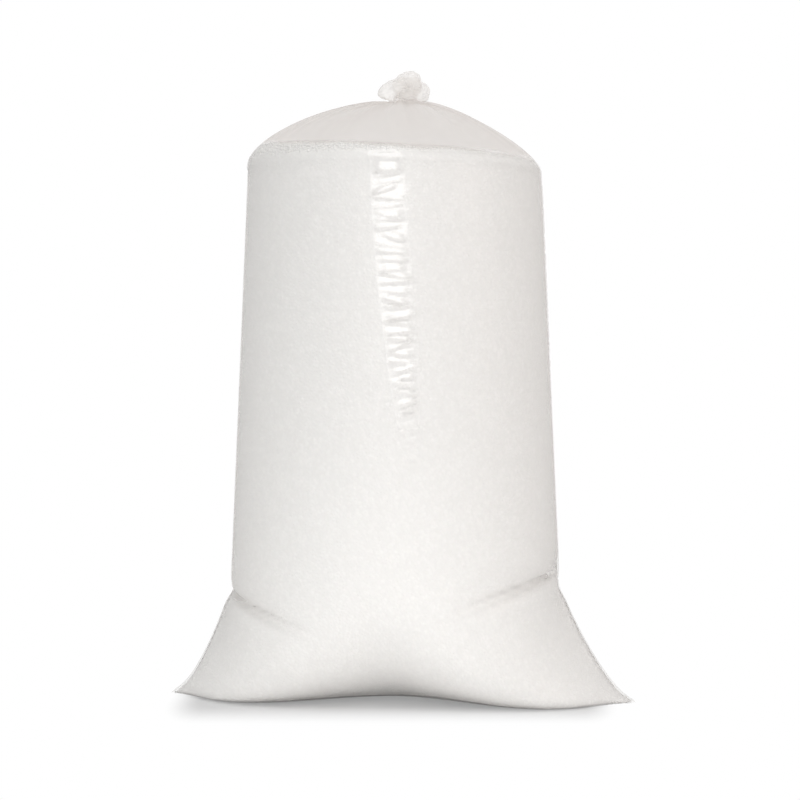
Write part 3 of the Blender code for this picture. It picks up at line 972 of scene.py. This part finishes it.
def bead_scatter_tree():
    """A Geometry Nodes tree that covers a surface with beads between two heights."""
    inputs = (
        ("Geometry", ("Surface",)),
        ("Float", ("Least Spacing", "Bead Radius", "Size Spread", "Flatness", "Tilt", "Lowest", "Highest")),
        ("Int", ("Sides", "Rings", "Seed")),
        ("Bool", ("Smooth",)),
        ("Material", ("Material",)),
    )
    tree, given = new_tree("scatter_beads", inputs, "Beads")
    points = add_node(
        tree,
        "GeometryNodeDistributePointsOnFaces",
        {
            "Mesh": given["Surface"],
            "Distance Min": given["Least Spacing"],
            "Density Max": DENSITY,
            "Seed": given["Seed"],
        },
        distribute_method="POISSON",
    )
    place = add_node(tree, "GeometryNodeInputPosition")
    height = add_node(tree, "ShaderNodeSeparateXYZ", {"Vector": place})
    above = add_node(
        tree,
        "FunctionNodeCompare",
        {0: height.outputs["Z"], 1: given["Lowest"]},
        operation="GREATER_EQUAL",
    )
    below = add_node(
        tree, "FunctionNodeCompare", {0: height.outputs["Z"], 1: given["Highest"]}, operation="LESS_THAN"
    )
    inside = add_node(tree, "FunctionNodeBooleanMath", {0: above, 1: below}, operation="AND")
    band = add_node(
        tree, "GeometryNodeSeparateGeometry", {"Geometry": points, "Selection": inside}, domain="POINT"
    )
    ball = add_node(
        tree,
        "GeometryNodeMeshUVSphere",
        {"Segments": given["Sides"], "Rings": given["Rings"], "Radius": given["Bead Radius"]},
    )
    shaded_ball = add_node(
        tree, "GeometryNodeSetShadeSmooth", {"Geometry": ball, "Shade Smooth": given["Smooth"]}
    )
    most_turn = add_node(
        tree, "ShaderNodeCombineXYZ", {"X": given["Tilt"], "Y": given["Tilt"], "Z": math.pi}
    )
    any_way = add_node(
        tree,
        "FunctionNodeRandomValue",
        {"Min": (-1.0, -1.0, -1.0), "Max": (1.0, 1.0, 1.0), "Seed": given["Seed"]},
        data_type="FLOAT_VECTOR",
    )
    spin = add_node(
        tree, "ShaderNodeVectorMath", {0: any_way.outputs[0], 1: most_turn}, operation="MULTIPLY"
    )
    turned = add_node(
        tree,
        "FunctionNodeRotateRotation",
        {"Rotation": points.outputs["Rotation"], "Rotate By": spin},
        rotation_space="LOCAL",
    )
    smallest = add_node(tree, "ShaderNodeMath", {0: 1.0, 1: given["Size Spread"]}, operation="SUBTRACT")
    largest = add_node(tree, "ShaderNodeMath", {0: 1.0, 1: given["Size Spread"]}, operation="ADD")
    size = add_node(
        tree,
        "FunctionNodeRandomValue",
        {2: smallest, 3: largest, "Seed": given["Seed"]},
        data_type="FLOAT",
    ).outputs[1]
    size_high = add_node(tree, "ShaderNodeMath", {0: size, 1: given["Flatness"]}, operation="MULTIPLY")
    scale = add_node(tree, "ShaderNodeCombineXYZ", {"X": size, "Y": size, "Z": size_high})
    beads = add_node(
        tree,
        "GeometryNodeInstanceOnPoints",
        {"Points": band, "Instance": shaded_ball, "Rotation": turned, "Scale": scale},
    )
    tone = add_node(tree, "FunctionNodeRandomValue", {"Seed": given["Seed"]}, data_type="FLOAT")
    toned = add_node(
        tree,
        "GeometryNodeStoreNamedAttribute",
        {"Geometry": beads, "Name": "tone", "Value": tone.outputs[1]},
        data_type="FLOAT",
        domain="INSTANCE",
    )
    end_tree(tree, toned, given["Material"])
    return tree


scatter = bead_scatter_tree()
print("Inputs:", ", ".join(item.name for item in scatter.interface.items_tree))

# %% [markdown]
# Bands of beads
#
# A mesh of all the beads would be too heavy for one piece, so there are bands from the floor up.
# All take the same points, and each keeps those between its own two heights.

# %% Beads
LEAST_SPACING = 0.0047
BEAD_RADIUS = 0.0034
SIZE_SPREAD = 0.14
BEAD_SEED = 7
FILL_LINE = 0.884
BEAD_BANDS = (
    # name, lowest, highest, sides, rings, flatness, tilt
    ("bead_fill_low", -1.0, 0.17, 6, 2, 0.20, 0.04),
    ("bead_fill_middle", 0.17, 0.53, 6, 2, 0.20, 0.04),
    ("bead_fill_high", 0.53, FILL_LINE, 6, 2, 0.20, 0.04),
    ("bead_fill_top", FILL_LINE, 2.0, 6, 3, 0.45, 0.25),
)

bead_pieces = []
for name, low, high, sides, rings, flatness, tilt in BEAD_BANDS:
    sizes = {
        "Least Spacing": LEAST_SPACING,
        "Bead Radius": BEAD_RADIUS,
        "Size Spread": SIZE_SPREAD,
        "Flatness": flatness,
        "Tilt": tilt,
        "Lowest": low,
        "Highest": high,
        "Sides": sides,
        "Rings": rings,
        "Smooth": rings > 2,
        "Seed": BEAD_SEED,
        "Material": bead_material,
    }
    bead_pieces.append(with_tree(name, bead_mass.data.copy(), scatter, sizes))
    print(name, "triangles:", triangle_count(bead_pieces[-1]))

# %% [markdown]
# The knot
#
# The neck is the whole tube gathered into a rope of pleats as thick as a thumb and tied once over
# itself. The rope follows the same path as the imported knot. Geometry Nodes sweep a round profile
# along it and push it in and out: long pleats that drift as they run, and a frill at the free end.
# The rope is about twice as thick as its film alone would be, because bunched film traps air.

# %% Path of the knot
NECK_RUN = 0.8
KNOT_MIDDLE = Vector((2.15, -1.31, 3.55))
KNOT_SPREAD = Vector((1.84, 2.13, 1.30))
KNOT_SQUEEZE = 0.76
KNOT_TURN = math.radians(-60)
KNOT_START = -math.pi + 0.80
KNOT_END = math.pi - 0.58
KNOT_CONTROLS = 22
TAIL = (Vector((-3.20, -2.21, 2.79)), Vector((-3.77, -1.97, 0.90)))


def knot_point(t):
    """A point of a trefoil, in radii of the gathered film from the top of the dome."""
    flat_x = math.sin(t) + 2.0 * math.sin(2.0 * t)
    flat_z = math.cos(t) - 2.0 * math.cos(2.0 * t)
    c = math.cos(KNOT_TURN)
    s = math.sin(KNOT_TURN)
    x = c * flat_x - s * flat_z
    z = s * flat_x + c * flat_z
    loops = Vector((KNOT_SPREAD.x * x, -KNOT_SPREAD.y * math.sin(3.0 * t), KNOT_SPREAD.z * z))
    return KNOT_MIDDLE + loops * KNOT_SQUEEZE


def knot_controls():
    """The neck, the knot and the tail as control points in metres."""
    neck = [NECK + Vector((0.0, 0.0, rise)) for rise in (0.0, 0.5 * NECK_RUN, NECK_RUN)]
    shares = [i / (KNOT_CONTROLS - 1) for i in range(KNOT_CONTROLS)]
    knot = [knot_point(KNOT_START + (KNOT_END - KNOT_START) * share) for share in shares]
    top = Vector((0.0, 0.0, DOME_HEIGHT))
    return [top + point * ROPE_RADIUS for point in neck + knot + list(TAIL)]


def knot_curve():
    """The path as a B-spline curve that keeps its first and last points."""
    controls = knot_controls()
    data = bpy.data.curves.new("knot_path", "CURVE")
    data.dimensions = "3D"
    data.twist_mode = "MINIMUM"
    spline = data.splines.new("NURBS")
    spline.points.add(len(controls) - 1)
    for point, place in zip(spline.points, controls):
        point.co = (*place, 1.0)
    spline.order_u = 4
    spline.use_endpoint_u = True
    spline.resolution_u = 10
    return data


knot_path = knot_curve()
print("Knot path points:", len(knot_path.splines[0].points))

# %% Gathered film tree
KNOT_CLOSES_AT = 0.985


def gathered_film_tree():
    """A Geometry Nodes tree that sweeps a pleated rope of film along a curve."""
    inputs = (
        ("Geometry", ("Path",)),
        ("Float", ("Step", "Rope Radius", "Pleats", "Pleat Depth", "Drift")),
        ("Float", ("Bunch Size", "Bunch Depth", "Frill", "Frill Start")),
        ("Int", ("Columns",)),
        ("Material", ("Material",)),
    )
    tree, given = new_tree("gathered_film", inputs, "Film")
    even = add_node(
        tree,
        "GeometryNodeResampleCurve",
        {"Curve": given["Path"], "Length": given["Step"]},
        mode="LENGTH",
    )
    along = add_node(tree, "GeometryNodeCaptureAttribute", {"Geometry": even})
    along.capture_items.new("FLOAT", "Along")
    share = add_node(tree, "GeometryNodeSplineParameter")
    feed(tree, along, {"Along": share})
    circle = add_node(
        tree,
        "GeometryNodeCurvePrimitiveCircle",
        {"Resolution": given["Columns"], "Radius": 1.0},
        mode="RADIUS",
    )
    turn = add_node(tree, "GeometryNodeCaptureAttribute", {"Geometry": circle})
    turn.capture_items.new("VECTOR", "Turn")
    feed(tree, turn, {"Turn": add_node(tree, "GeometryNodeInputPosition")})
    flare = add_node(
        tree,
        "ShaderNodeMapRange",
        {"Value": share, "From Min": given["Frill Start"], "To Min": 0.0, "To Max": given["Frill"]},
        interpolation_type="SMOOTHSTEP",
    )
    radius = add_node(tree, "ShaderNodeMath", {0: given["Rope Radius"], 1: flare}, operation="ADD")
    closing = add_node(
        tree, "ShaderNodeMapRange", {"Value": share, "From Min": 1.0, "From Max": KNOT_CLOSES_AT}
    )
    end_radius = add_node(tree, "ShaderNodeMath", {0: radius, 1: closing}, operation="MULTIPLY")
    rope = add_node(
        tree, "GeometryNodeCurveToMesh", {"Curve": along, "Profile Curve": turn, "Scale": end_radius}
    )
    drift = add_node(
        tree, "ShaderNodeMath", {0: along.outputs["Along"], 1: given["Drift"]}, operation="MULTIPLY"
    )
    shift = add_node(tree, "ShaderNodeCombineXYZ", {"Z": drift})
    round_place = add_node(
        tree,
        "ShaderNodeVectorMath",
        {0: turn.outputs["Turn"], "Scale": given["Pleats"]},
        operation="SCALE",
    )
    pleat_place = add_node(tree, "ShaderNodeVectorMath", {0: round_place, 1: shift}, operation="ADD")
    folds = add_node(tree, "ShaderNodeTexNoise", {"Vector": pleat_place, "Scale": 1.0, "Detail": 2.0})
    centred = add_node(tree, "ShaderNodeMath", {0: folds, 1: 0.5}, operation="SUBTRACT")
    creased = add_node(tree, "ShaderNodeMath", {0: centred}, operation="ABSOLUTE")
    pleat = add_node(tree, "ShaderNodeMath", {0: creased, 1: given["Pleat Depth"]}, operation="MULTIPLY")
    bunch_scale = add_node(tree, "ShaderNodeMath", {0: 1.0, 1: given["Bunch Size"]}, operation="DIVIDE")
    here = add_node(tree, "GeometryNodeInputPosition")
    bunches = add_node(tree, "ShaderNodeTexNoise", {"Vector": here, "Scale": bunch_scale, "Detail": 1.0})
    bunch_centred = add_node(tree, "ShaderNodeMath", {0: bunches, 1: 0.5}, operation="SUBTRACT")
    relief = add_node(
        tree,
        "ShaderNodeMath",
        {0: bunch_centred, 1: given["Bunch Depth"], 2: pleat},
        operation="MULTIPLY_ADD",
    )
    normal = add_node(tree, "GeometryNodeInputNormal")
    push = add_node(tree, "ShaderNodeVectorMath", {0: normal, "Scale": relief}, operation="SCALE")
    pleated = add_node(tree, "GeometryNodeSetPosition", {"Geometry": rope, "Offset": push})
    smooth = add_node(tree, "GeometryNodeSetShadeSmooth", {"Geometry": pleated})
    end_tree(tree, smooth, given["Material"])
    return tree


KNOT_HAZE = 0.40
KNOT_MILK = "FFFDFB"

knot_material = blown_film_material("gathered_ldpe_film", KNOT_HAZE, KNOT_HAZE, KNOT_MILK)
knot_sizes = {
    "Step": 0.0016,
    "Columns": 72,
    "Rope Radius": 0.0124,
    "Pleats": 2.1,
    "Pleat Depth": 0.012,
    "Drift": 8.0,
    "Bunch Size": 0.020,
    "Bunch Depth": 0.009,
    "Frill": 0.004,
    "Frill Start": 0.88,
    "Material": knot_material,
}
knot = with_tree("film_bag_knot", knot_path, gathered_film_tree(), knot_sizes)
print("Knot triangles:", triangle_count(knot))

# %% [markdown]
# Tying the pieces to the imported model
#
# Each new piece rides on the one body, and the imported solid that it stands for is hidden.

# %% Attach the pieces
for piece in (film_skin, knot):
    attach(piece, "root")
    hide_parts("film_bag")
for piece in [bead_mass] + bead_pieces:
    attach(piece, "root")
    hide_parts("bead_fill")
print("Pieces:", 3 + len(bead_pieces))

# %% [markdown]
# White floor, soft light
#
# The bag stands in a white studio. The floor is a white matte sheet, so it holds the soft shadow
# where the bag meets it. The lamps in front light it more than they light the bag, so the camera
# sees a greyer paper than the one that throws light up at the bag, and near the bag that grey is
# painted shade on top of the real shadow. Close to the bag the camera also sees some of the world's
# plain white glowing in it, painted light that lifts the deepest shadow, and a few hands away it sees
# only that white. The world lights everything evenly at a lower level than the camera sees, so that
# white beads don't clip.

# %% Floor and world
FLOOR_SIZE = 14.0
FLOOR_CORE = (0.30, 0.07, 0.0)
FLOOR_SHIFT = 0.015
FLOOR_NEAR, FLOOR_FADE = 0.02, 0.20
# Painted light: the share of plain white glow that the camera sees even in the darkest shadow by the bag.
FLOOR_PAINTED_LIFT = 0.29
FLOOR_SIDEWAYS = 3.3
# Painted shade: the camera sees the paper near the bag in the second, greyer colour.
PAPER_WHITE, PAPER_SEEN_PAINTED_GREY = "FCFCFC", "CACACA"
WORLD_LEVEL = 0.58


def seamless_floor_material():
    """Matte white near the bag, which the camera sees greyer (painted shade) with a little white glow
    (painted light); plain white further out for the camera.
    """
    made, tree = new_material("white_seamless_paper")
    place = add_node(tree, "ShaderNodeTexCoord").outputs["Object"]
    moved = {"Vector": place, "Location": (FLOOR_SHIFT, 0.0, 0.0), "Rotation": (0.0, 0.0, -CAMERA_TURN)}
    vector = add_node(tree, "ShaderNodeMapping", moved)
    zero = (0.0, 0.0, 0.0)
    faster = (FLOOR_SIDEWAYS, 1.0, 0.0)
    steps = (("ABSOLUTE", zero), ("SUBTRACT", FLOOR_CORE), ("MAXIMUM", zero), ("MULTIPLY", faster))
    for operation, other in steps:
        vector = add_node(tree, "ShaderNodeVectorMath", {0: vector, 1: other}, operation=operation)
    far = add_node(tree, "ShaderNodeVectorMath", {0: vector}, operation="LENGTH")
    fade = add_node(
        tree,
        "ShaderNodeMapRange",
        {
            "Value": far.outputs["Value"],
            "From Min": FLOOR_NEAR,
            "From Max": FLOOR_NEAR + FLOOR_FADE,
            "To Min": FLOOR_PAINTED_LIFT,
        },
        interpolation_type="SMOOTHSTEP",
    )
    is_camera = add_node(tree, "ShaderNodeLightPath").outputs["Is Camera Ray"]
    papers = {0: is_camera, 6: linear(PAPER_WHITE), 7: linear(PAPER_SEEN_PAINTED_GREY)}
    paper = add_node(tree, "ShaderNodeMix", papers, data_type="RGBA")
    shader = tree.nodes["Principled BSDF"]
    feed(tree, shader, {"Base Color": paper.outputs[2], "Roughness": 0.9, "Specular IOR Level": 0.1})
    # The camera's share of white glow: painted light in the shadow near the bag, plain white far out.
    seen = add_node(tree, "ShaderNodeMath", {0: fade, 1: is_camera}, operation="MULTIPLY")
    white = add_node(tree, "ShaderNodeEmission", {"Color": linear("FFFFFF"), "Strength": 1.0})
    both = add_node(tree, "ShaderNodeMixShader", {"Fac": seen, 1: shader, 2: white})
    feed(tree, tree.nodes["Material Output"], {"Surface": both})
    return made


half = FLOOR_SIZE / 2
floor_corners = [(-half, -half, 0.0), (half, -half, 0.0), (half, half, 0.0), (-half, half, 0.0)]
floor = new_piece("floor", floor_corners, [(0, 1, 2, 3)])
floor.data.materials.append(seamless_floor_material())

world = bpy.data.worlds.new("white_studio")
world.use_nodes = True
bpy.context.scene.world = world
sky = world.node_tree
path = add_node(sky, "ShaderNodeLightPath").outputs
shown = path["Is Camera Ray"]
for ray in ("Is Glossy Ray", "Is Transmission Ray"):
    shown = add_node(sky, "ShaderNodeMath", {0: shown, 1: path[ray]}, operation="MAXIMUM")
level = add_node(sky, "ShaderNodeMapRange", {"Value": shown, "To Min": WORLD_LEVEL, "To Max": 1.0})
feed(sky, sky.nodes["Background"], {"Color": linear("FFFFFF"), "Strength": level})
print("World level:", WORLD_LEVEL)

# %% [markdown]
# Five soft boxes
#
# A wide soft box beside the camera lifts the middle of the round body over its sides, and the slack
# film mirrors it as a ladder of bright lenses. A long low box fills the lower front a little. A
# third hangs over the floor in front, with a grid that keeps it off the bag, so that the white
# paper throws light up under the belly. A small warm one on the right makes that side a little
# lighter. The last hangs over the bag, with a grid too, and keeps the top of the fill from turning
# dark where the wall bends in under the dome.

# %% Soft boxes
def soft_box(name, turn_degrees, out, aim_out, size, level, colour, spread_degrees=180.0):
    """An area lamp at a distance and height, aimed at another, seen by the object alone."""
    data = bpy.data.lights.new(name, "AREA")
    data.shape = "RECTANGLE"
    data.size, data.size_y = size
    data.energy = level * math.pi * size[0] * size[1]
    data.color = linear(colour)[:3]
    data.spread = math.radians(spread_degrees)
    turn = CAMERA_TURN + math.radians(turn_degrees)
    lamp = aimed(name, data, around_bag(turn, *out), around_bag(turn, *aim_out))
    lamp.visible_camera = False
    return lamp


SOFT_BOXES = (
    # name, turn in degrees, place and aim as distance and height, size, level, colour, spread
    ("key_soft_box", -4.0, (3.0, 1.05), (0.0, 0.95), (1.7, 1.4), 2.05, "FFFFFF"),
    ("low_soft_box", -14.0, (2.2, 0.20), (0.0, 0.0), (2.4, 0.35), 0.15, "FFFFFF"),
    ("floor_soft_box", -8.0, (0.80, 0.75), (0.74, 0.0), (1.3, 0.6), 0.85, "FFFFFF", 80.0),
    ("warm_soft_box", 56.0, (2.8, 1.5), (0.0, 0.9), (0.9, 0.9), 2.5, "FFE9DF"),
    ("top_soft_box", 0.0, (0.6, 2.3), (0.0, 0.9), (1.2, 1.2), 0.30, "FFFFFF", 80.0),
)
for values in SOFT_BOXES:
    print(soft_box(*values).name, "level", values[5])

# %% [markdown]
# Last settings
#
# The Standard view transform shows colours as they are written.

# %% Finish
bpy.context.scene.view_settings.view_transform = "Standard"
bpy.context.view_layer.update()
